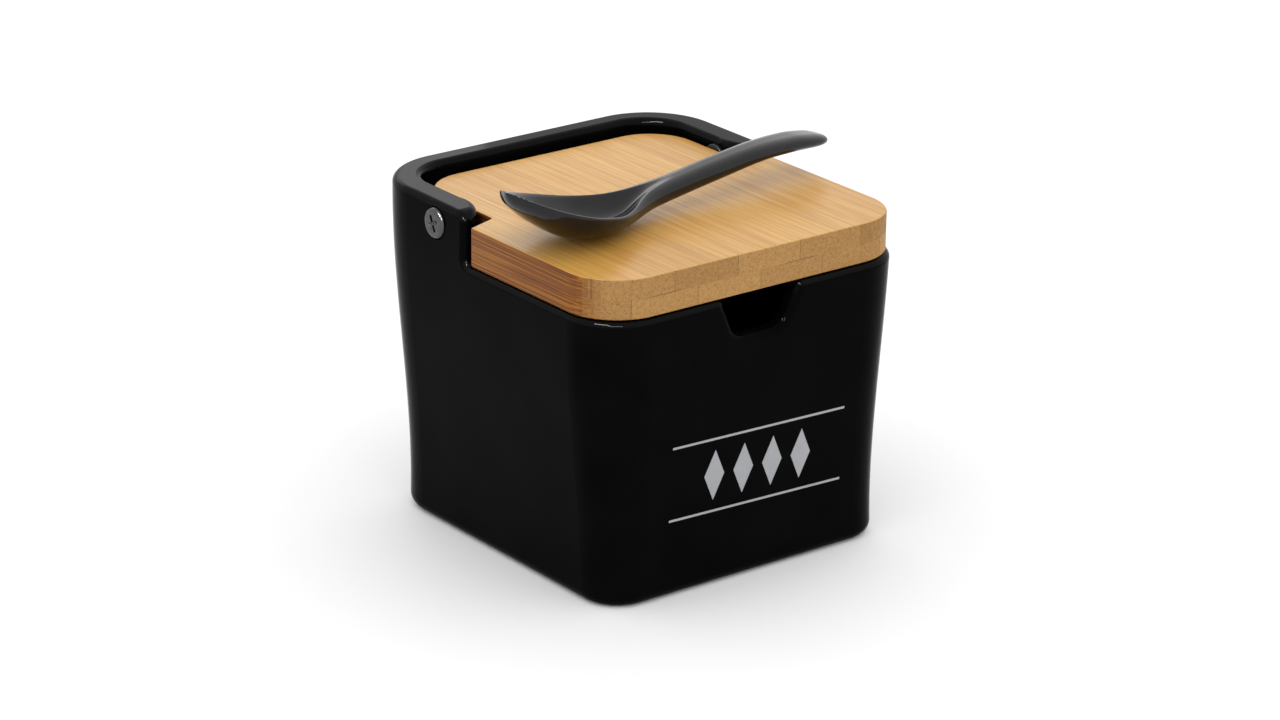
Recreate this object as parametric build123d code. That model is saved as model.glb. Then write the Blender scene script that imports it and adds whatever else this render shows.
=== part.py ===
from build123d import *
import os

# Salt box with a hinged bamboo lid. Millimetres, +Z up, the front faces -Y.
# The origin is the middle of the underside that the box stands on.

# --- driving dimensions of the ceramic box ---
front_height = 78.0          # top of the low front rim
back_height = 91.7           # top of the ears and the back
# height, half width, front and back distance from the middle, front and back corner
outline = [
    (0.0, 46.1, 49.0, 49.0, 11.0, 15.7),
    (38.0, 47.5, 49.9, 50.3, 13.6, 17.6),
    (front_height, 50.0, 51.5, 52.9, 15.1, 19.7),
    (back_height, 49.6, 52.2, 54.0, 15.1, 20.3),
]
least_corner = 3.0           # of anything inset from the outside
side_wall = 8.4
front_wall = 5.6
back_wall = 7.2
floor_thickness = 6.5
foot_recess = 1.2
foot_width = 6.0
base_rounding = 3.2
inner_rounding = 6.0
rim_rounding = 1.8
ear_front = 7.0              # y of the ears' front edges
ear_top_radius = 5.0
ear_inner_radius = 11.0      # upright curve of each ear beside the lid

# --- spoon notch in the front wall ---
notch_top_half = 12.4
notch_bottom_half = 7.4
notch_depth = 11.0
notch_corner = 5.4
notch_rounding = 2.2

# --- bamboo lid ---
lid_gap = 0.25               # over the rim when shut
lid_thickness = 10.5
lid_half_width = 49.3
lid_front = -50.6
lid_corner = 15.1
lid_step = 5.4               # y where the wide front ends at the sides
step_slant = 3.0             # further back where it meets the tail
tail_half_width = 40.5
tail_back = 43.2
tail_corner = 13.2
step_radius = 1.0
lid_bevel = 0.5

# --- hinge ---
hinge_y = 20.2
hinge_z = 86.0
shank_radius = 1.75
bush_radius = 2.75
bush_clearance = 0.05
head_radius = 4.1
head_height = 2.1
head_rounding = 0.9
screw_reach = 14.0           # how far the screw goes into the lid's side
washer_radius = 4.05
washer_thickness = 0.6
flange_radius = 3.9
seat_radius = 4.35           # round seats sunk in both faces of each ear
outer_seat = 48.0            # x of the outer seat
inner_seat = 43.0
side_play = 0.3              # between the flange and the lid
head_gap = 0.1
recess_size = 4.4            # span of the cross recess
recess_depth = 1.3

# --- printed lines and lozenges on the front ---
print_thickness = 0.12
line_half_length = 28.0
line_width = 0.6
line_heights = (40.4, 20.6)
lozenge_height = 13.6
lozenge_width = 6.4
lozenge_pitch = 9.4
lozenge_count = 4
print_shift = 0.9            # of the lines and the row, to the right
print_tilt = -1.6            # degrees in the plane of the front

# --- spoon ---
spoon_origin = (-37.6, -16.4)     # middle of the bowl, in plan
spoon_angle = 6.3                 # degrees from +X
spoon_lift = 0.1                  # clear of the lid

lid_bottom = front_height + lid_gap
lid_top = lid_bottom + lid_thickness
cut_height = back_height + 10


def save(solid, name):
    os.makedirs("parts", exist_ok=True)
    solid.label = name
    export_step(solid, f"parts/{name}.step")


def plan(width, front, back, front_corner, back_corner, height):
    """Rectangle with rounded corners, lying at a height."""
    corners = [(-width, -front), (width, -front), (width, back), (-width, back)]
    face = make_face(Polyline(*corners, close=True))
    face = fillet(face.vertices().group_by(Axis.Y)[0], front_corner)
    face = fillet(face.vertices().group_by(Axis.Y)[-1], back_corner)
    return Pos(0, 0, height) * face


def size_at(height):
    """The row of the outline at a height, read off between the given rows."""
    for low, high in zip(outline, outline[1:]):
        if height <= high[0]:
            break
    part = (height - low[0]) / (high[0] - low[0])
    return [a + (b - a) * part for a, b in zip(low, high)]


def walls(heights, side=0.0, front=0.0, back=0.0):
    """Solid through the box's plan at each height, inset from the outside."""
    sections = []
    for height in heights:
        _, width, front_end, back_end, front_corner, back_corner = size_at(height)
        front_inside = max(front_corner - (side + front) / 2, least_corner)
        back_inside = max(back_corner - (side + back) / 2, least_corner)
        sections.append(plan(
            width - side, front_end - front, back_end - back, front_inside, back_inside, height,
        ))
    return loft(sections)


def front_cut():
    """What is open above the front rim, drawn from the side."""
    far = lid_front - 20
    shoulder = back_height - ear_top_radius
    sides = [
        Line((far, cut_height), (far, front_height)),
        Line((far, front_height), (ear_front, front_height)),
        Line((ear_front, front_height), (ear_front, shoulder)),
        CenterArc((ear_front + ear_top_radius, shoulder), ear_top_radius, 180, -90),
        Line((ear_front + ear_top_radius, back_height), (ear_front + ear_top_radius, cut_height)),
        Line((ear_front + ear_top_radius, cut_height), (far, cut_height)),
    ]
    return extrude(Plane.YZ * make_face(sides), 80, both=True)


def ear_cut(side):
    """What curves away from the inner front corner of an ear, drawn from above."""
    inner = size_at(back_height)[1] - side_wall - 0.1
    reach = ear_inner_radius
    corner = Pos(side * (inner + reach / 2 - 2), ear_front + reach / 2 - 2) * Rectangle(reach + 4, reach + 4)
    round_part = Pos(side * (inner + reach), ear_front + reach) * Circle(reach)
    return extrude(Pos(0, 0, front_height) * (corner - round_part), back_height)


def notch_cut():
    """Spoon notch: a rounded trapezoid through the front wall."""
    bottom = front_height - notch_depth
    above = 6
    slope = (notch_top_half - notch_bottom_half) / notch_depth
    wide = notch_top_half + slope * above
    corners = [
        (-wide, front_height + above),
        (-notch_bottom_half, bottom),
        (notch_bottom_half, bottom),
        (wide, front_height + above),
    ]
    face = make_face(Polyline(*corners, close=True))
    face = fillet(face.vertices().sort_by(Axis.Y)[:2], notch_corner)
    return extrude(Plane.XZ.offset(38) * face, 30)


def across(radius, start, end, side):
    """Cylinder on the hinge axis between two distances from the middle."""
    middle = side * (start + end) / 2
    return Pos(middle, hinge_y, hinge_z) * Rot(0, 90, 0) * Cylinder(radius, abs(end - start))


def salt_box():
    heights = [row[0] for row in outline]
    outer = walls(heights)
    outer = fillet(outer.edges().group_by(Axis.Z)[0], base_rounding)
    inner = walls([floor_thickness] + heights[1:], side_wall, front_wall, back_wall)
    inner = fillet(inner.edges().group_by(Axis.Z)[0], inner_rounding)
    box = outer - inner - front_cut() - ear_cut(-1) - ear_cut(1)
    rim = [edge for edge in box.edges() if edge.center().Z > front_height - 1]
    box = fillet(rim, rim_rounding) - notch_cut()
    notch = box.edges().filter_by(lambda edge: notch_edge(edge))
    box = fillet(notch, notch_rounding)
    box -= walls([0, foot_recess], side_wall + foot_width, front_wall + foot_width, back_wall + foot_width)
    for side in (-1, 1):
        box -= across(bush_radius + bush_clearance, inner_seat - 5, outer_seat + 5, side)
        box -= across(seat_radius, outer_seat, outer_seat + 5, side)
        box -= across(seat_radius, inner_seat - 5, inner_seat, side)
    return box


def notch_edge(edge):
    """True for the long edges where the notch meets the two faces of the front wall."""
    middle = edge.center()
    inside = abs(middle.X) < notch_top_half + 2 and middle.Y < -30
    return inside and middle.Z > front_height - notch_depth - 1


def lid_board():
    corners = [
        (-lid_half_width, lid_front),
        (lid_half_width, lid_front),
        (lid_half_width, lid_step),
        (tail_half_width, lid_step + step_slant),
        (tail_half_width, tail_back),
        (-tail_half_width, tail_back),
        (-tail_half_width, lid_step + step_slant),
        (-lid_half_width, lid_step),
    ]
    face = make_face(Polyline(*corners, close=True))
    rows = face.vertices().group_by(Axis.Y)
    face = fillet(rows[0], lid_corner)
    face = fillet(face.vertices().group_by(Axis.Y)[-1], tail_corner)
    inner = [v for v in face.vertices() if abs(v.Y - lid_step - step_slant) < 0.01]
    face = fillet(inner, step_radius)
    board = extrude(Pos(0, 0, lid_bottom) * face, lid_thickness)
    flat = board.edges().filter_by(lambda edge: edge.bounding_box().size.Z < 0.01)
    board = chamfer(flat, lid_bevel)
    for side in (-1, 1):
        board -= across(shank_radius, tail_half_width - screw_reach, tail_half_width + 1, side)
    return board


def hinge_screw(side):
    """Pan-head screw with a cross recess, its head outside the ear."""
    seat = outer_seat + washer_thickness + head_gap
    shank = across(shank_radius, tail_half_width - screw_reach, seat, side)
    point = shank.faces().sort_by(Axis.X)[0 if side > 0 else -1]
    shank = chamfer(point.edges(), 0.9)
    head = across(head_radius, seat, seat + head_height, side)
    outside = head.faces().sort_by(Axis.X)[-1 if side > 0 else 0]
    head = fillet(outside.edges(), head_rounding)
    screw = shank + head
    for turn in (25, 115):
        slot = Box(recess_depth * 2, recess_size, 0.9)
        screw -= Pos(side * (seat + head_height), hinge_y, hinge_z) * Rot(turn, 0, 0) * slot
    return screw


def hinge_bush(side):
    flange = across(flange_radius, tail_half_width + side_play, inner_seat, side)
    sleeve = across(bush_radius, inner_seat, outer_seat - 0.2, side)
    bore = across(shank_radius + bush_clearance, tail_half_width, outer_seat + 1, side)
    return flange + sleeve - bore


def head_washer(side):
    ring = across(washer_radius, outer_seat, outer_seat + washer_thickness, side)
    return ring - across(shank_radius + bush_clearance, outer_seat - 1, outer_seat + 2, side)


def front_print():
    """Two lines and a row of lozenges, a thin layer that follows the front wall."""
    heights = [row[0] for row in outline]
    grown = [-print_thickness] * 3
    skin = walls(heights, *grown) - walls(heights)
    shapes = []
    middle = sum(line_heights) / 2
    for height in line_heights:
        shapes.append(Pos(print_shift, height - middle) * Rectangle(2 * line_half_length, line_width))
    w, h = lozenge_width / 2, lozenge_height / 2
    for i in range(lozenge_count):
        x = print_shift + (i - (lozenge_count - 1) / 2) * lozenge_pitch
        shapes.append(Pos(x, 0) * make_face(Polyline((w, 0), (0, h), (-w, 0), (0, -h), close=True)))
    pieces = []
    for shape in shapes:
        placed = Plane.XZ.offset(30) * Pos(0, middle) * Rot(0, 0, print_tilt) * shape
        pieces += (extrude(placed, 40) & skin).solids()
    return Compound(children=pieces)


def spoon_section(station, half_width, edge, bottom, crown):
    """Slice across the spoon: half an ellipse below its edges, a low arc above."""
    plane = Plane(origin=(station, 0, 0), x_dir=(0, 1, 0), z_dir=(1, 0, 0))
    below = EllipticalCenterArc((0, edge), half_width, edge - bottom, 180, arc_size=180)
    above = ThreePointArc((half_width, edge), (0, edge + crown), (-half_width, edge))
    return plane * make_face([below, above])


def spoon():
    # station along the spoon, half width, height of the edges, underside, crown of the top
    outer = [
        (-18.0, 1.4, 17.0, 15.2, 0.3),
        (-16.2, 4.2, 16.1, 13.0, 0.3),
        (-13.0, 7.6, 14.6, 10.1, 0.2),
        (-8.0, 11.0, 12.4, 6.3, 0.2),
        (-1.0, 13.0, 10.0, 2.2, 0.2),
        (6.0, 12.7, 8.0, 0.5, 0.2),
        (13.0, 10.8, 6.6, 0.0, 0.2),
        (20.0, 8.0, 6.1, 0.4, 0.3),
        (28.0, 5.3, 6.1, 1.6, 1.6),
        (40.0, 4.2, 6.6, 3.0, 2.1),
        (55.0, 4.3, 7.8, 4.7, 2.4),
        (70.0, 4.8, 8.8, 6.2, 2.3),
        (82.0, 5.2, 8.7, 6.3, 2.1),
        (90.0, 4.9, 7.9, 5.8, 1.7),
        (93.2, 3.7, 7.6, 5.8, 1.2),
        (94.5, 1.8, 7.4, 6.3, 0.6),
    ]
    hollow = [
        (-15.9, 2.4, 16.4, 14.9),
        (-12.4, 6.2, 14.9, 11.6),
        (-7.0, 9.4, 12.6, 7.8),
        (0.0, 11.2, 10.2, 4.2),
        (7.0, 10.8, 8.4, 2.7),
        (14.0, 8.7, 7.0, 2.2),
        (20.5, 5.6, 6.8, 3.3),
        (25.0, 2.7, 7.6, 5.7),
    ]
    body = loft([spoon_section(*row) for row in outer])
    scoop = loft([spoon_section(*row, 2.5) for row in hollow])
    placed = Pos(*spoon_origin, lid_top + spoon_lift) * Rot(0, 0, spoon_angle)
    return placed * (body - scoop)


if __name__ == "__main__":
    save(salt_box(), "salt_box")
    save(lid_board(), "lid_board")
    save(front_print(), "front_print")
    for side, name in ((-1, "left"), (1, "right")):
        save(hinge_screw(side), f"hinge_screw_{name}")
        save(hinge_bush(side), f"hinge_bush_{name}")
        save(head_washer(side), f"head_washer_{name}")
    save(spoon(), "spoon")
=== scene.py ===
import bpy
import bmesh
import math
from mathutils import Matrix, Vector


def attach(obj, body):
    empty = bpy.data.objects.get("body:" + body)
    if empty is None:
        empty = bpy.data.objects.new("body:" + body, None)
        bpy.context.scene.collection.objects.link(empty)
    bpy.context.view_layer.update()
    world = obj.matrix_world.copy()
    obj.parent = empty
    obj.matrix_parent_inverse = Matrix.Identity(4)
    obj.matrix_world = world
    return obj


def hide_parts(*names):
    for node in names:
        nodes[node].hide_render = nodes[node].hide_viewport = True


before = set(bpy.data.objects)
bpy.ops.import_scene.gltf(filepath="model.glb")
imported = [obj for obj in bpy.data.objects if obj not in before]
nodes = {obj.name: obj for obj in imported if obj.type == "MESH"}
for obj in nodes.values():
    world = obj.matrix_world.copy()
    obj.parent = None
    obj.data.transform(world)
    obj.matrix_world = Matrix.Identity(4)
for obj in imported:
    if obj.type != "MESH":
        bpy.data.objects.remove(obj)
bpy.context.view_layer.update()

mm = 0.001
print("frame loaded:", len(nodes), "nodes")


# helpers for shader trees

def newNode(tree, kind, inputs=None, **settings):
    node = tree.nodes.new(kind)
    for name, value in settings.items():
        setattr(node, name, value)
    for name, value in (inputs or {}).items():
        if isinstance(value, bpy.types.NodeSocket):
            tree.links.new(value, node.inputs[name])
        else:
            node.inputs[name].default_value = value
    return node


def maths(tree, operation, first, second=0.0, third=0.0):
    node = newNode(tree, "ShaderNodeMath", {0: first, 1: second, 2: third}, operation=operation)
    return node.outputs[0]


def vectorMaths(tree, operation, first, second):
    return newNode(tree, "ShaderNodeVectorMath", {0: first, 1: second}, operation=operation).outputs[0]


def ramp(tree, value, low, high, start=0.0, end=1.0):
    # smooth step from start to end while value goes from low to high
    node = newNode(tree, "ShaderNodeMapRange",
                   {"Value": value, "From Min": low, "From Max": high, "To Min": start, "To Max": end},
                   interpolation_type="SMOOTHSTEP")
    return node.outputs["Result"]


def mixColour(tree, factor, first, second, blend="MIX"):
    node = newNode(tree, "ShaderNodeMix", data_type="RGBA", blend_type=blend, clamp_factor=True)
    for index, value in ((0, factor), (6, first), (7, second)):
        if isinstance(value, bpy.types.NodeSocket):
            tree.links.new(value, node.inputs[index])
        elif index:
            node.inputs[index].default_value = (*value, 1)
        else:
            node.inputs[index].default_value = value
    return node.outputs[2]


def noise(tree, vector, scale, detail=2.0, roughness=0.5):
    node = newNode(tree, "ShaderNodeTexNoise", {
        "Vector": vector, "Scale": scale, "Detail": detail, "Roughness": roughness})
    return node.outputs["Fac"]


def stretched(tree, vector, x, y, z):
    node = newNode(tree, "ShaderNodeMapping", {"Vector": vector, "Scale": (x, y, z)})
    return node.outputs["Vector"]


def objectPlace(tree):
    # the place on the piece in millimetres
    place = newNode(tree, "ShaderNodeTexCoord").outputs["Object"]
    return stretched(tree, place, 1000, 1000, 1000)


def newGroup(name, inputs, outputs):
    tree = bpy.data.node_groups.new(name, "ShaderNodeTree")
    for label, kind, value in inputs:
        socket = tree.interface.new_socket(label, in_out="INPUT", socket_type="NodeSocket" + kind)
        if value is not None:
            socket.default_value = value
    for label, kind in outputs:
        tree.interface.new_socket(label, in_out="OUTPUT", socket_type="NodeSocket" + kind)
    return tree, tree.nodes.new("NodeGroupInput").outputs, tree.nodes.new("NodeGroupOutput").inputs


def useGroup(tree, group, inputs):
    node = newNode(tree, "ShaderNodeGroup", node_tree=group)
    for name, value in inputs.items():
        if isinstance(value, bpy.types.NodeSocket):
            tree.links.new(value, node.inputs[name])
        else:
            node.inputs[name].default_value = value
    return node.outputs


def newMaterial(name, **settings):
    material = bpy.data.materials.new(name)
    material.use_nodes = True
    tree = material.node_tree
    shader = tree.nodes["Principled BSDF"]
    for label, value in settings.items():
        shader.inputs[label.replace("_", " ")].default_value = value
    return material, tree, shader


def feed(tree, shader, **sockets):
    for label, socket in sockets.items():
        tree.links.new(socket, shader.inputs[label.replace("_", " ")])


def wear(piece, material):
    piece.data.materials.clear()
    piece.data.materials.append(material)


# effects that several finishes share

def glazeSurfaceGroup():
    # soft waves, pinholes and the slight colour drift of a fired glaze
    tree, given, out = newGroup("glazeSurface", [
        ("Place", "Vector", None), ("Wave Size", "Float", 9.0), ("Wave Depth", "Float", 0.05),
        ("Pinholes", "Float", 0.4), ("Seed", "Float", 0.0)],
        [("Height", "Float"), ("Drift", "Float"), ("Pores", "Float")])
    shifted = vectorMaths(tree, "ADD", given["Place"], given["Seed"])
    broad = noise(tree, shifted, maths(tree, "DIVIDE", 1.0, given["Wave Size"]), 1.5)
    fine = noise(tree, shifted, 0.9, 2.0)
    cells = newNode(tree, "ShaderNodeTexVoronoi", {"Vector": shifted, "Scale": 0.22}, feature="F1")
    hole = ramp(tree, cells.outputs["Distance"], 0.02, 0.05, 1.0, 0.0)
    chance = newNode(tree, "ShaderNodeSeparateColor", {"Color": cells.outputs["Color"]}).outputs["Red"]
    hole = maths(tree, "MULTIPLY", hole, maths(tree, "LESS_THAN", chance, given["Pinholes"]))
    waves = maths(tree, "MULTIPLY", broad, given["Wave Depth"])
    waves = maths(tree, "ADD", waves, maths(tree, "MULTIPLY", fine, 0.004))
    height = maths(tree, "SUBTRACT", waves, maths(tree, "MULTIPLY", hole, 0.02))
    tree.links.new(height, out["Height"])
    tree.links.new(ramp(tree, broad, 0.3, 0.7), out["Drift"])
    tree.links.new(hole, out["Pores"])
    return tree


def smudgeGroup():
    # faint dust and wiping marks
    tree, given, out = newGroup("smudge", [
        ("Place", "Vector", None), ("Size", "Float", 14.0), ("Amount", "Float", 0.5)],
        [("Mask", "Float"), ("Specks", "Float")])
    scale = maths(tree, "DIVIDE", 1.0, given["Size"])
    patch = newNode(tree, "ShaderNodeTexNoise", {
        "Vector": given["Place"], "Scale": scale, "Detail": 5.0, "Roughness": 0.6, "Distortion": 0.8})
    mask = maths(tree, "MULTIPLY", ramp(tree, patch.outputs["Fac"], 0.45, 0.75), given["Amount"])
    specks = ramp(tree, noise(tree, given["Place"], 2.3, 3.0), 0.7, 0.8)
    tree.links.new(mask, out["Mask"])
    tree.links.new(maths(tree, "MULTIPLY", specks, given["Amount"]), out["Specks"])
    return tree


def fibreGroup():
    # bamboo fibre: streaks along Y, bundle dots where the ends are cut
    tree, given, out = newGroup("bambooFibre", [
        ("Place", "Vector", None), ("Strip Width", "Float", 20.0),
        ("Ply Thickness", "Float", 5.25), ("Bottom", "Float", 78.25)],
        [(label, "Float") for label in ("Tone", "Streak", "Bundle", "Seam", "Upper Ply")])
    place = newNode(tree, "ShaderNodeSeparateXYZ", {0: given["Place"]}).outputs
    level = maths(tree, "SUBTRACT", place["Z"], given["Bottom"])
    level = maths(tree, "DIVIDE", level, given["Ply Thickness"])
    ply = maths(tree, "FLOOR", level)
    across = maths(tree, "DIVIDE", place["X"], given["Strip Width"])
    across = maths(tree, "ADD", across, maths(tree, "MULTIPLY", ply, 0.37))
    strip = maths(tree, "FLOOR", across)
    own = newNode(tree, "ShaderNodeCombineXYZ", {"X": strip, "Y": ply}).outputs[0]
    tone = newNode(tree, "ShaderNodeTexWhiteNoise", {"Vector": own}, noise_dimensions="3D").outputs["Value"]
    offset = vectorMaths(tree, "MULTIPLY", own, (31.0, 17.0, 5.0))
    local = vectorMaths(tree, "ADD", given["Place"], offset)
    long = noise(tree, stretched(tree, local, 1.1, 0.022, 1.1), 1.0, 3.0, 0.6)
    thin = noise(tree, stretched(tree, local, 3.4, 0.05, 3.4), 1.0, 2.0, 0.55)
    streak = maths(tree, "ADD", maths(tree, "MULTIPLY", long, 0.6), maths(tree, "MULTIPLY", thin, 0.4))
    cells = newNode(tree, "ShaderNodeTexVoronoi", {
        "Vector": stretched(tree, local, 1.55, 0.03, 1.55), "Scale": 1.0}, feature="F1")
    bundle = ramp(tree, cells.outputs["Distance"], 0.16, 0.34, 1.0, 0.0)
    edge = maths(tree, "ABSOLUTE", maths(tree, "SUBTRACT", maths(tree, "FRACT", across), 0.5))
    seam = ramp(tree, edge, 0.492, 0.499)
    between = maths(tree, "ABSOLUTE", maths(tree, "SUBTRACT", level, 1.0))
    patchy = noise(tree, stretched(tree, given["Place"], 0.05, 0.02, 0.2), 1.0, 2.0)
    patchy = ramp(tree, patchy, 0.5, 0.7, 0.0, 0.7)
    glue = maths(tree, "MULTIPLY", ramp(tree, between, 0.012, 0.03, 1.0, 0.0), patchy)
    tree.links.new(tone, out["Tone"])
    tree.links.new(streak, out["Streak"])
    tree.links.new(bundle, out["Bundle"])
    tree.links.new(maths(tree, "MAXIMUM", maths(tree, "MULTIPLY", seam, 0.5), glue), out["Seam"])
    tree.links.new(maths(tree, "GREATER_THAN", level, 1.0), out["Upper Ply"])
    return tree


glazeSurface = glazeSurfaceGroup()
smudge = smudgeGroup()
bambooFibre = fibreGroup()


# finishes

blackGlaze = dict(
    dark=(0.0012, 0.0012, 0.0013), light=(0.002, 0.0019, 0.0021), speck=(0.2, 0.19, 0.18),
    specular=0.015, smooth=0.06, rough=0.12, crown=0.1, crownStart=74.0, crownEnd=77.0,
    waveSize=16.0, waveDepth=0.035, seed=0.0)
spoonGlaze = dict(
    dark=(0.0035, 0.0037, 0.0042), light=(0.006, 0.006, 0.0065), speck=(0.2, 0.19, 0.18),
    specular=0.3, smooth=0.08, rough=0.14, crown=0.0, crownStart=0.0, crownEnd=1.0,
    waveSize=8.0, waveDepth=0.03, seed=40.0)


def glazeMaterial(name, finish):
    material, tree, shader = newMaterial(name, Specular_IOR_Level=finish["specular"])
    place = objectPlace(tree)
    surface = useGroup(tree, glazeSurface, {
        "Place": place, "Wave Size": finish["waveSize"], "Wave Depth": finish["waveDepth"],
        "Pinholes": 0.25, "Seed": finish["seed"]})
    marks = useGroup(tree, smudge, {"Place": place, "Size": 18.0, "Amount": 0.5})
    colour = mixColour(tree, surface["Drift"], finish["dark"], finish["light"])
    colour = mixColour(tree, maths(tree, "MULTIPLY", marks["Specks"], 0.05), colour, finish["speck"])
    rough = ramp(tree, marks["Mask"], 0.0, 0.5, finish["smooth"], finish["rough"])
    rough = maths(tree, "ADD", rough, maths(tree, "MULTIPLY", surface["Pores"], 0.25))
    bump = newNode(tree, "ShaderNodeBump", {"Height": surface["Height"], "Strength": 1.0, "Distance": mm})
    # the glaze is glossier on the crown of the rim and the ears than on the walls
    height = newNode(tree, "ShaderNodeSeparateXYZ", {0: place}).outputs["Z"]
    crown = ramp(tree, height, finish["crownStart"], finish["crownEnd"], 0.0, finish["crown"])
    facing = newNode(tree, "ShaderNodeNewGeometry").outputs["Normal"]
    upward = newNode(tree, "ShaderNodeSeparateXYZ", {0: facing}).outputs["Z"]
    crown = maths(tree, "MULTIPLY", crown, ramp(tree, upward, 0.12, 0.4))
    feed(tree, shader, Base_Color=colour, Roughness=rough, Coat_Weight=crown, Normal=bump.outputs[0])
    return material


bambooColours = dict(
    pale=(0.68, 0.375, 0.09), deep=(0.49, 0.235, 0.042),
    endPale=(0.46, 0.26, 0.09), endDeep=(0.27, 0.14, 0.046),
    # the side colours are painted shade: the long-grain edges are kept darker than the top, as for faces
    # turned away from the light
    sideShadedPale=(0.36, 0.14, 0.02), sideShadedDeep=(0.12, 0.036, 0.008),
    caramel=(0.17, 0.055, 0.014), seam=(0.06, 0.03, 0.015),
    specular=0.1, smooth=0.3, rough=0.4, oil=0.42, oilRoughness=0.27)


def bambooMaterial():
    look = bambooColours
    material, tree, shader = newMaterial(
        "bambooLid", Specular_IOR_Level=look["specular"], Coat_Roughness=look["oilRoughness"])
    place = objectPlace(tree)
    fibre = useGroup(tree, bambooFibre, {"Place": place})
    marks = useGroup(tree, smudge, {"Place": place, "Size": 22.0, "Amount": 1.0})
    endGrain = newNode(tree, "ShaderNodeAttribute", attribute_name="endGrain").outputs["Fac"]
    sideGrain = newNode(tree, "ShaderNodeAttribute", attribute_name="sideGrain").outputs["Fac"]
    streak = ramp(tree, fibre["Streak"], 0.36, 0.64)
    tone = maths(tree, "MULTIPLY_ADD", fibre["Tone"], 0.35, maths(tree, "MULTIPLY", streak, 0.65))
    long = mixColour(tree, tone, look["pale"], look["deep"])
    # the edges along the grain carry painted shade: darker and browner than the top, as if facing away from
    # the light, with fine dark lines
    fine = ramp(tree, noise(tree, stretched(tree, place, 1.0, 0.02, 2.6), 1.0, 3.0, 0.6), 0.35, 0.62)
    long = mixColour(tree, sideGrain, long, mixColour(tree, fine, look["sideShadedPale"], look["sideShadedDeep"]))
    long = mixColour(tree, maths(tree, "MULTIPLY", fibre["Bundle"], 0.16), long, look["caramel"])
    # the edges of the upper ply have more brown bands
    band = ramp(tree, noise(tree, stretched(tree, place, 0.2, 0.012, 0.75), 1.0, 3.0, 0.6), 0.4, 0.62)
    reach = ramp(tree, fibre["Upper Ply"], 0.0, 1.0, 0.35, 0.85)
    band = maths(tree, "MULTIPLY", maths(tree, "MULTIPLY", band, reach), sideGrain)
    long = mixColour(tree, band, long, look["caramel"])
    cutTone = maths(tree, "MULTIPLY_ADD", fibre["Tone"], 0.6, maths(tree, "MULTIPLY", streak, 0.4))
    cut = mixColour(tree, cutTone, look["endPale"], look["endDeep"])
    cut = mixColour(tree, maths(tree, "MULTIPLY", fibre["Bundle"], 0.55), cut, look["caramel"])
    colour = mixColour(tree, endGrain, long, cut)
    colour = mixColour(tree, fibre["Seam"], colour, look["seam"])
    rough = ramp(tree, marks["Mask"], 0.0, 1.0, look["smooth"], look["rough"])
    rough = maths(tree, "MULTIPLY_ADD", streak, 0.1, rough)
    rough = maths(tree, "MULTIPLY_ADD", endGrain, 0.2, rough)
    height = maths(tree, "MULTIPLY_ADD", streak, -0.012, maths(tree, "MULTIPLY", fibre["Bundle"], -0.02))
    height = maths(tree, "SUBTRACT", height, maths(tree, "MULTIPLY", fibre["Seam"], 0.05))
    bump = newNode(tree, "ShaderNodeBump", {"Height": height, "Strength": 1.0, "Distance": mm})
    oil = maths(tree, "MULTIPLY", maths(tree, "SUBTRACT", 1.0, sideGrain), look["oil"])
    feed(tree, shader, Base_Color=colour, Roughness=rough, Coat_Weight=oil, Normal=bump.outputs[0])
    return material


# the steel colours are kept very dark as painted shade, standing in for the dark surroundings that the screw
# heads reflect; the duller one is smudged steel
steelColours = dict(clean=(0.085, 0.085, 0.084), dull=(0.04, 0.039, 0.037), smooth=0.14, rough=0.34)


def steelMaterial():
    look = steelColours
    material, tree, shader = newMaterial("screwSteel", Metallic=1.0, Specular_IOR_Level=0.5)
    place = objectPlace(tree)
    marks = useGroup(tree, smudge, {"Place": place, "Size": 2.5, "Amount": 1.0})
    fine = noise(tree, stretched(tree, place, 2.0, 9.0, 9.0), 1.0, 3.0)
    colour = mixColour(tree, marks["Mask"], look["clean"], look["dull"])
    rough = ramp(tree, marks["Mask"], 0.0, 1.0, look["smooth"], look["rough"])
    rough = maths(tree, "MULTIPLY_ADD", fine, 0.15, rough)
    bump = newNode(tree, "ShaderNodeBump", {"Height": maths(tree, "MULTIPLY", fine, 0.01), "Distance": mm})
    feed(tree, shader, Base_Color=colour, Roughness=rough, Normal=bump.outputs[0])
    return material


nylonColours = dict(dark=(0.008, 0.008, 0.009), light=(0.018, 0.018, 0.019), smooth=0.42, rough=0.56)


def nylonMaterial():
    look = nylonColours
    material, tree, shader = newMaterial("blackNylon", Specular_IOR_Level=0.4)
    place = objectPlace(tree)
    fine = noise(tree, place, 5.0, 3.0)
    colour = mixColour(tree, fine, look["dark"], look["light"])
    rough = ramp(tree, fine, 0.3, 0.7, look["smooth"], look["rough"])
    bump = newNode(tree, "ShaderNodeBump", {"Height": maths(tree, "MULTIPLY", fine, 0.015), "Distance": mm})
    feed(tree, shader, Base_Color=colour, Roughness=rough, Normal=bump.outputs[0])
    return material


printColours = dict(
    dark=(0.28, 0.29, 0.305), light=(0.34, 0.345, 0.36), worn=(0.05, 0.05, 0.055), smooth=0.3, rough=0.42)


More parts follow.
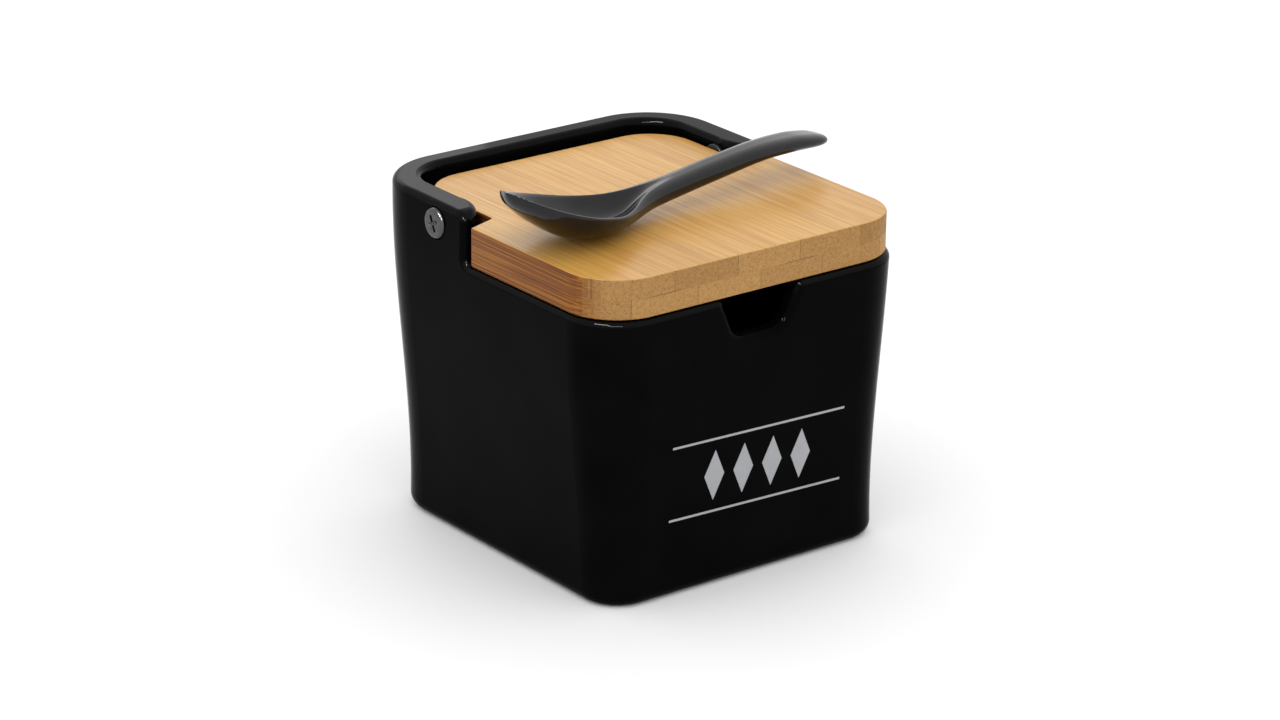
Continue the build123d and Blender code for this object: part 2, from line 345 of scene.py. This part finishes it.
def printMaterial():
    # silver-grey print, a little thin in places
    look = printColours
    material, tree, shader = newMaterial("silverPrint", Specular_IOR_Level=0.4)
    place = objectPlace(tree)
    grain = noise(tree, place, 3.2, 4.0, 0.7)
    thin = ramp(tree, grain, 0.62, 0.78)
    colour = mixColour(tree, noise(tree, place, 0.35, 2.0), look["dark"], look["light"])
    colour = mixColour(tree, maths(tree, "MULTIPLY", thin, 0.7), colour, look["worn"])
    rough = ramp(tree, grain, 0.3, 0.7, look["smooth"], look["rough"])
    bump = newNode(tree, "ShaderNodeBump", {"Height": maths(tree, "MULTIPLY", grain, 0.01), "Distance": mm})
    feed(tree, shader, Base_Color=colour, Roughness=rough, Normal=bump.outputs[0])
    return material


floorLook = dict(half=6.0, dark=(0.95, 0.95, 0.95), light=(0.98, 0.98, 0.98), smooth=0.6, rough=0.7)


def floorMaterial():
    look = floorLook
    material, tree, shader = newMaterial("paleFloor", Specular_IOR_Level=0.2)
    place = newNode(tree, "ShaderNodeTexCoord").outputs["Object"]
    soft = noise(tree, place, 3.0, 3.0)
    colour = mixColour(tree, soft, look["dark"], look["light"])
    rough = ramp(tree, soft, 0.3, 0.7, look["smooth"], look["rough"])
    feed(tree, shader, Base_Color=colour, Roughness=rough)
    return material


bamboo = bambooMaterial()
steel = steelMaterial()
nylon = nylonMaterial()
boxGlaze = glazeMaterial("blackGlaze", blackGlaze)
ladleGlaze = glazeMaterial("spoonGlaze", spoonGlaze)
wear(nodes["salt_box"], boxGlaze)
wear(nodes["front_print"], printMaterial())
print("finishes ready")


# shared mesh helpers

def pieceFromRings(name, rings, material, sharpAngle=40):
    # skin over closed rings of equally many points, in millimetres, with both ends filled
    mesh = bmesh.new()
    rows = [[mesh.verts.new(Vector(point) * mm) for point in ring] for ring in rings]
    count = len(rings[0])
    for low, high in zip(rows, rows[1:]):
        for i in range(count):
            mesh.faces.new((low[i], low[(i + 1) % count], high[(i + 1) % count], high[i]))
    for row in (rows[0], rows[-1]):
        mesh.faces.new(row)
    bmesh.ops.remove_doubles(mesh, verts=mesh.verts, dist=1e-7)
    bmesh.ops.recalc_face_normals(mesh, faces=mesh.faces)
    return finishPiece(name, mesh, material, sharpAngle)


def finishPiece(name, mesh, material, sharpAngle=40):
    for face in mesh.faces:
        face.smooth = True
    data = bpy.data.meshes.new(name)
    mesh.to_mesh(data)
    mesh.free()
    data.set_sharp_from_angle(angle=math.radians(sharpAngle))
    piece = bpy.data.objects.new(name, data)
    bpy.context.scene.collection.objects.link(piece)
    wear(piece, material)
    return piece


def baked(piece):
    # the piece with its modifiers made permanent
    graph = bpy.context.evaluated_depsgraph_get()
    data = bpy.data.meshes.new_from_object(piece.evaluated_get(graph))
    piece.modifiers.clear()
    old = piece.data
    piece.data = data
    data.name = piece.name
    bpy.data.meshes.remove(old)
    return piece


def smoothValue(rows, place, column):
    # value of a column at a place along the table, on a smooth curve through the rows
    last = len(rows) - 2
    i = 0
    while i < last and place > rows[i + 1][0]:
        i += 1
    x0, x1 = rows[i][0], rows[i + 1][0]

    def slope(k):
        low, high = rows[max(k - 1, 0)], rows[min(k + 1, len(rows) - 1)]
        return (high[column] - low[column]) / (high[0] - low[0])

    t = (place - x0) / (x1 - x0)
    y0, y1 = rows[i][column], rows[i + 1][column]
    m0, m1 = slope(i) * (x1 - x0), slope(i + 1) * (x1 - x0)
    return ((2 * t ** 3 - 3 * t ** 2 + 1) * y0 + (t ** 3 - 2 * t ** 2 + t) * m0
            + (3 * t ** 2 - 2 * t ** 3) * y1 + (t ** 3 - t ** 2) * m1)


# bamboo lid

lid = dict(
    bottom=78.25, top=88.75, front=-50.6, halfWidth=49.3, frontCorner=15.1,
    step=5.4, slant=3.0, stepCorner=0.7, stepInner=1.0,
    tailHalf=40.5, tailBack=43.2, tailCorner=13.2, arris=0.42, screwHole=1.75, screwReach=14.0)
hinge = dict(y=20.2, z=86.0)


def lidOutline(inset):
    # right half from the front to the back, then mirrored; inset shrinks it evenly
    corners = [  # corner, radius, steps
        ((lid["halfWidth"], lid["front"]), lid["frontCorner"], 14),
        ((lid["halfWidth"], lid["step"]), lid["stepCorner"], 4),
        ((lid["tailHalf"], lid["step"] + lid["slant"]), -lid["stepInner"], 6),
        ((lid["tailHalf"], lid["tailBack"]), lid["tailCorner"], 14)]
    ends = [(0, lid["front"])] + [corner[0] for corner in corners] + [(0, lid["tailBack"])]
    ends = [Vector(end) for end in ends]
    half = []
    for i, (_, radius, parts) in enumerate(corners):
        before, corner, after = ends[i], ends[i + 1], ends[i + 2]
        first, second = (corner - before).normalized(), (after - corner).normalized()
        half += roundedCorner(corner, first, second, radius, parts, inset)
    return half + [(-x, y) for x, y in reversed(half)]


def roundedCorner(corner, first, second, radius, parts, inset):
    # points of an arc between two edges; a hollow corner has a negative radius
    normals = [Vector((-way.y, way.x)) for way in (first, second)]
    turn = first.angle_signed(second)
    middle = (normals[0] + normals[1]).normalized()
    centre = corner + middle * radius / math.cos(turn / 2)
    size = radius - inset
    points = []
    for i in range(parts + 1):
        share = Matrix.Rotation(-turn * i / parts, 2)
        points.append(tuple(centre - (share @ normals[0]) * size))
    return points


def lidBoard():
    arris, rings = lid["arris"], []
    profile = [(arris + 0.1, 0), (arris, 0)]
    for angle in (22, 45, 68):
        turn = math.radians(angle)
        profile.append((arris * (1 - math.sin(turn)), arris * (1 - math.cos(turn))))
    profile += [(0, arris), (0, arris + 0.15)]
    height = lid["top"] - lid["bottom"]
    for inset, rise in profile + [(inset, height - rise) for inset, rise in reversed(profile)]:
        rings.append([(x, y, lid["bottom"] + rise) for x, y in lidOutline(inset)])
    board = pieceFromRings("lidBoard", rings, bamboo, 60)
    drillLid(board)
    markGrain(board)
    return board


def drillLid(board):
    # the blind holes that the hinge screws sit in
    mesh = bmesh.new()
    radius, reach, outside = lid["screwHole"] * mm, lid["screwReach"], 2
    turn = Matrix.Rotation(math.radians(90), 4, "Y")
    for side in (-1, 1):
        x = side * (lid["tailHalf"] - reach / 2 + outside / 2)
        place = Vector((x, hinge["y"], hinge["z"])) * mm
        bmesh.ops.create_cone(
            mesh, cap_ends=True, segments=32, radius1=radius, radius2=radius,
            depth=(reach + outside) * mm, matrix=Matrix.Translation(place) @ turn)
    drill = finishPiece("drill", mesh, bamboo)
    cut = board.modifiers.new("holes", "BOOLEAN")
    cut.object, cut.operation, cut.solver = drill, "DIFFERENCE", "EXACT"
    baked(board)
    bpy.data.objects.remove(drill)


def markGrain(board):
    # how squarely each face cuts across the fibre, and which faces are edges
    data = board.data
    end = data.attributes.new("endGrain", "FLOAT", "FACE")
    side = data.attributes.new("sideGrain", "FLOAT", "FACE")
    for face in data.polygons:
        end.data[face.index].value = min(1.0, max(0.0, (abs(face.normal.y) - 0.25) / 0.45))
        side.data[face.index].value = 1.0 if abs(face.normal.z) < 0.8 else 0.0


board = lidBoard()
print("lid board:", len(board.data.polygons), "faces")


# spoon

# along the spoon; half width, height of the widest line, underside, where the rim stands (share of
# the half width), height of the rim above the widest line, depth of the hollow below the rim
spoonRows = [
    (-18.02, 0.3, 16.95, 16.65, 0.85, 0.10, 0.0),
    (-17.3, 1.9, 16.55, 14.5, 0.86, 0.30, 0.1),
    (-15.8, 4.7, 15.7, 12.4, 0.88, 0.40, 0.9),
    (-13.0, 7.7, 14.1, 10.0, 0.91, 0.45, 2.7),
    (-8.0, 11.3, 11.9, 6.2, 0.94, 0.45, 4.8),
    (-1.0, 13.4, 9.5, 1.95, 0.95, 0.45, 6.2),
    (6.0, 13.0, 7.6, 0.45, 0.95, 0.45, 5.8),
    (13.0, 11.2, 6.1, 0.05, 0.94, 0.50, 4.8),
    (20.0, 8.2, 5.4, 0.4, 0.84, 0.85, 3.5),
    (25.5, 6.1, 5.5, 1.2, 0.62, 1.4, 1.5),
    (30.0, 4.95, 5.8, 1.85, 0.44, 1.85, 0.4),
    (38.0, 4.25, 6.4, 2.7, 0.26, 2.0, 0.0),
    (55.0, 4.3, 7.8, 4.6, 0.24, 2.2, 0.0),
    (70.0, 4.75, 8.8, 6.3, 0.26, 2.1, 0.0),
    (82.0, 5.2, 8.7, 6.3, 0.30, 1.9, 0.0),
    (89.0, 5.0, 8.1, 5.9, 0.30, 1.6, 0.0),
    (92.4, 4.0, 7.7, 5.9, 0.30, 1.2, 0.0),
    (93.9, 2.4, 7.5, 6.2, 0.30, 0.7, 0.0),
    (94.45, 0.4, 7.45, 7.0, 0.30, 0.15, 0.0)]
spoonPlace = dict(x=-37.6, y=-16.4, rise=88.85, turn=6.3, steps=150, crowding=0.72)


def spoonRing(place):
    half, edge, under, rim, rise, hollow = [smoothValue(spoonRows, place, i) for i in range(1, 7)]
    half, hollow = max(half, 0.2), max(hollow, 0.0)
    points = []
    for i in range(25):  # underside, from the left edge to the right
        angle = math.pi * i / 24
        points.append((half * math.cos(angle), edge - (edge - under) * math.sin(angle) ** 0.9))
    flank = []
    for i in range(1, 8):  # from the widest line up to the rim
        angle = math.pi / 2 * i / 7
        flank.append((rim + (1 - rim) * math.cos(angle), edge + rise * math.sin(angle)))
    points += [(-half * share, height) for share, height in flank]
    for i in range(1, 24):  # across the hollow
        share = -1 + 2 * i / 24
        points.append((half * rim * share, edge + rise - hollow * (1 - share * share) ** 1.15))
    points += [(half * share, height) for share, height in reversed(flank)]
    return points


def spoonPiece():
    start, end = spoonRows[0][0], spoonRows[-1][0]
    places, steps = [], spoonPlace["steps"]
    for i in range(steps + 1):  # stations crowd together at both ends
        share = i / steps
        share = share - math.sin(2 * math.pi * share) / (2 * math.pi) * spoonPlace["crowding"]
        places.append(start + (end - start) * share)
    turn = Matrix.Rotation(math.radians(spoonPlace["turn"]), 3, "Z")
    shift = Vector((spoonPlace["x"], spoonPlace["y"], spoonPlace["rise"]))
    rings = []
    for place in places:
        rings.append([turn @ Vector((place, y, z)) + shift for y, z in spoonRing(place)])
    return pieceFromRings("spoonBody", rings, ladleGlaze, 75)


spoon = spoonPiece()
print("spoon:", len(spoon.data.polygons), "faces")


# hinge hardware

hardware = dict(
    seat=48.7, headRadius=4.1, headHeight=2.1, headCrown=0.95, shankRadius=1.75, reach=26.5,
    threadPitch=0.9, threadDepth=0.28, threadLead=2.2, threadEnd=41.0,
    crossSpan=4.6, crossWidth=0.95, crossDepth=1.35, crossTurn=25,
    flangeRadius=3.9, sleeveRadius=2.75, bore=1.8, flangeInner=40.8, flangeOuter=43.0,
    sleeveEnd=47.8, sleeveSoft=0.15,
    washerInner=48.0, washerOuter=48.6, washerRadius=4.05, washerSoft=0.12)


def lathe(name, profile, material, turns=64, closed=False):
    # turns a profile of (distance along X, radius) round the hinge axis, at the origin
    mesh = bmesh.new()
    rows = []
    for along, radius in profile:
        row = []
        for i in range(turns):
            angle = 2 * math.pi * i / turns
            point = Vector((along, radius * math.cos(angle), radius * math.sin(angle)))
            row.append(mesh.verts.new(point * mm))
        rows.append(row)
    pairs = list(zip(rows, rows[1:])) + ([(rows[-1], rows[0])] if closed else [])
    for low, high in pairs:
        for i in range(turns):
            mesh.faces.new((low[i], low[(i + 1) % turns], high[(i + 1) % turns], high[i]))
    if not closed:
        mesh.faces.new(rows[0])
        mesh.faces.new(rows[-1])
    bmesh.ops.recalc_face_normals(mesh, faces=mesh.faces)
    return finishPiece(name, mesh, material, 35)


def geometryTree(name, inputs):
    tree = bpy.data.node_groups.new(name, "GeometryNodeTree")
    tree.interface.new_socket("Geometry", in_out="INPUT", socket_type="NodeSocketGeometry")
    for label, kind, value in inputs:
        socket = tree.interface.new_socket(label, in_out="INPUT", socket_type="NodeSocket" + kind)
        if value is not None:
            socket.default_value = value
    tree.interface.new_socket("Geometry", in_out="OUTPUT", socket_type="NodeSocketGeometry")
    return tree, tree.nodes.new("NodeGroupInput").outputs, tree.nodes.new("NodeGroupOutput").inputs


def hingePairTree():
    # puts a turned piece on the hinge axis at both ears, the left one turned round
    tree, given, out = geometryTree("hingePair", [
        ("Hinge Y", "Float", 0.02), ("Hinge Z", "Float", 0.085), ("Material", "Material", None)])
    start = newNode(tree, "ShaderNodeCombineXYZ", {"Y": given["Hinge Y"], "Z": given["Hinge Z"]}).outputs[0]
    points = newNode(tree, "GeometryNodeMeshLine", {"Count": 2, "Start Location": start, "Offset": (0, 0, 0)})
    index = newNode(tree, "GeometryNodeInputIndex").outputs[0]
    angle = newNode(tree, "ShaderNodeMath", {0: index, 1: math.pi}, operation="MULTIPLY").outputs[0]
    turn = newNode(tree, "ShaderNodeCombineXYZ", {"Z": angle}).outputs[0]
    copies = newNode(tree, "GeometryNodeInstanceOnPoints", {
        "Points": points.outputs["Mesh"], "Instance": given["Geometry"], "Rotation": turn})
    real = newNode(tree, "GeometryNodeRealizeInstances", {"Geometry": copies.outputs["Instances"]})
    done = newNode(tree, "GeometryNodeSetMaterial", {
        "Geometry": real.outputs[0], "Material": given["Material"]})
    tree.links.new(done.outputs[0], out["Geometry"])
    return tree


def runTree(piece, tree, values):
    modifier = piece.modifiers.new(tree.name, "NODES")
    modifier.node_group = tree
    for item in tree.interface.items_tree:
        if item.item_type == "SOCKET" and item.in_out == "INPUT" and item.name in values:
            modifier[item.identifier] = values[item.name]
    return baked(piece)


def screwPiece():
    look = hardware
    seat, radius, tip, pitch = look["seat"], look["shankRadius"], look["reach"], look["threadPitch"]
    place, core, thread = tip + look["threadLead"], radius - look["threadDepth"], []
    while place < look["threadEnd"]:  # ridges of the thread
        for share, height in ((0, core), (0.35, radius), (0.5, radius), (0.85, core)):
            thread.append((place + pitch * share, height))
        place += pitch
    profile = [(tip, 0.25), (tip + 0.3, 0.5)] + thread + [(place, radius), (seat, radius)]
    profile += [(seat, look["headRadius"] - 0.25), (seat + 0.08, look["headRadius"] - 0.08)]
    crown, face = look["headCrown"], seat + look["headHeight"]
    flat = look["headRadius"] - crown
    for i in range(9):
        angle = math.pi / 2 * i / 8
        profile.append((face - crown + crown * math.sin(angle), flat + crown * math.cos(angle)))
    profile.append((face, 0.6))
    screw = lathe("hingeScrews", profile, steel, 72)
    return cutCross(screw)


def cutCross(screw):
    # cross recess: two tapered blades sunk in the head
    look = hardware
    face = look["seat"] + look["headHeight"]
    mesh = bmesh.new()
    for turn in (look["crossTurn"], look["crossTurn"] + 90):
        rings = []
        for depth, share in ((-0.6, 1.1), (look["crossDepth"] * 0.55, 0.86), (look["crossDepth"], 0.35)):
            w, h = look["crossWidth"] / 2 * (0.6 + 0.4 * share), look["crossSpan"] / 2 * share
            rings.append([(face - depth, y, z) for y, z in ((w, h), (-w, h), (-w, -h), (w, -h))])
        spin = Matrix.Rotation(math.radians(turn), 3, "X")
        rows = [[mesh.verts.new(spin @ Vector(point) * mm) for point in ring] for ring in rings]
        for low, high in zip(rows, rows[1:]):
            for i in range(4):
                mesh.faces.new((low[i], low[(i + 1) % 4], high[(i + 1) % 4], high[i]))
        mesh.faces.new(rows[0])
        mesh.faces.new(rows[-1])
    bmesh.ops.recalc_face_normals(mesh, faces=mesh.faces)
    blade = finishPiece("blade", mesh, steel)
    cut = screw.modifiers.new("cross", "BOOLEAN")
    cut.object, cut.operation, cut.solver, cut.use_self = blade, "DIFFERENCE", "EXACT", True
    baked(screw)
    bpy.data.objects.remove(blade)
    screw.data.set_sharp_from_angle(angle=math.radians(30))
    return screw


def washerProfile():
    # closed profile of a washer with slightly broken edges
    look = hardware
    inner, outer, soft = look["bore"], look["washerRadius"], look["washerSoft"]
    start, end = look["washerInner"], look["washerOuter"]
    return [(start, inner + soft), (start, outer - soft), (start + soft, outer), (end - soft, outer),
            (end, outer - soft), (end, inner + soft), (end - soft, inner), (start + soft, inner)]


def sleeveProfile():
    look = hardware
    inner, outer, bore = look["flangeInner"], look["flangeOuter"], look["bore"]
    rim, tube, end, soft = look["flangeRadius"], look["sleeveRadius"], look["sleeveEnd"], look["sleeveSoft"]
    return [(inner, bore + soft), (inner, rim - soft), (inner + soft, rim),
            (outer - soft, rim), (outer, rim - soft), (outer, tube), (end - soft, tube),
            (end, tube - soft), (end, bore + soft), (end - soft, bore), (inner + soft, bore)]


hingePair = hingePairTree()
axis = {"Hinge Y": hinge["y"] * mm, "Hinge Z": hinge["z"] * mm}
screws = runTree(screwPiece(), hingePair, {**axis, "Material": steel})
sleeves = lathe("hingeSleeves", sleeveProfile(), nylon, 56, closed=True)
sleeves = runTree(sleeves, hingePair, {**axis, "Material": nylon})
washers = lathe("headWashers", washerProfile(), nylon, 56, closed=True)
washers = runTree(washers, hingePair, {**axis, "Material": nylon})
print("hinge hardware:", len(screws.data.polygons), "faces on the screws")


# what each piece stands for

for piece, body, slot, replaced in (
        (board, "lid", "bamboo", ["lid_board"]),
        (screws, "lid", "screw_steel", ["hinge_screw_left", "hinge_screw_right"]),
        (sleeves, "box", "hinge_plastic", ["hinge_bush_left", "hinge_bush_right"]),
        (washers, "box", "hinge_plastic", ["head_washer_left", "head_washer_right"]),
        (spoon, "spoon", "spoon_glaze", ["spoon"])):
    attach(piece, body)
    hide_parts(*replaced)


# camera, light and floor

# seen from the left front, a little above
view = dict(
    lens=120.65, distance=1128.74, target=(2.817, 2.2, 42.316), yaw=0.6582, pitch=-0.3642, roll=0.0114)


def addCamera():
    yaw, pitch, roll = view["yaw"], view["pitch"], view["roll"]
    forward = Vector((math.sin(yaw) * math.cos(pitch), math.cos(yaw) * math.cos(pitch), math.sin(pitch)))
    level = Vector((math.cos(yaw), -math.sin(yaw), 0))
    upright = level.cross(forward)
    right = math.cos(roll) * level + math.sin(roll) * upright
    up = -math.sin(roll) * level + math.cos(roll) * upright
    data = bpy.data.cameras.new("camera")
    data.lens = view["lens"]
    data.sensor_width = 36
    data.sensor_fit = "HORIZONTAL"
    data.clip_start = 0.05
    camera = bpy.data.objects.new("camera", data)
    bpy.context.scene.collection.objects.link(camera)
    place = (Vector(view["target"]) - forward * view["distance"]) * mm
    turn = Matrix((right, up, -forward)).transposed()
    camera.matrix_world = Matrix.Translation(place) @ turn.to_4x4()
    bpy.context.scene.camera = camera


addCamera()

# name, place, size, power; each faces the middle of the object and only shows in reflections
lights = [
    ("keySoftbox", (-0.65, -0.24, 1.0), (0.5, 0.1), 19.0),
    ("frontSoftbox", (-0.72, -0.93, 0.95), (0.6, 0.08), 15.0),
    ("rearSoftbox", (0.35, 1.1, 0.62), (0.7, 0.35), 0.8)]
studio = dict(middle=(0, 0, 0.05), colour=(1, 1, 1), strength=1.2)


def areaLight(name, place, size, power):
    data = bpy.data.lights.new(name, "AREA")
    data.shape = "RECTANGLE"
    data.size, data.size_y = size
    data.energy = power
    light = bpy.data.objects.new(name, data)
    light.visible_diffuse = False
    bpy.context.scene.collection.objects.link(light)
    light.location = place
    light.rotation_euler = (Vector(studio["middle"]) - Vector(place)).to_track_quat("-Z", "Y").to_euler()


for light in lights:
    areaLight(*light)

world = bpy.data.worlds.new("studio")
bpy.context.scene.world = world
world.use_nodes = True
world.node_tree.nodes["Background"].inputs["Color"].default_value = (*studio["colour"], 1)
world.node_tree.nodes["Background"].inputs["Strength"].default_value = studio["strength"]


def addFloor():
    mesh = bpy.data.meshes.new("floor")
    half = floorLook["half"]
    corners = [(-half, -half, 0), (half, -half, 0), (half, half, 0), (-half, half, 0)]
    mesh.from_pydata(corners, [], [(0, 1, 2, 3)])
    floor = bpy.data.objects.new("floor", mesh)
    bpy.context.scene.collection.objects.link(floor)
    wear(floor, floorMaterial())


addFloor()
bpy.context.scene.view_settings.view_transform = "Standard"
print("camera, light and floor ready")
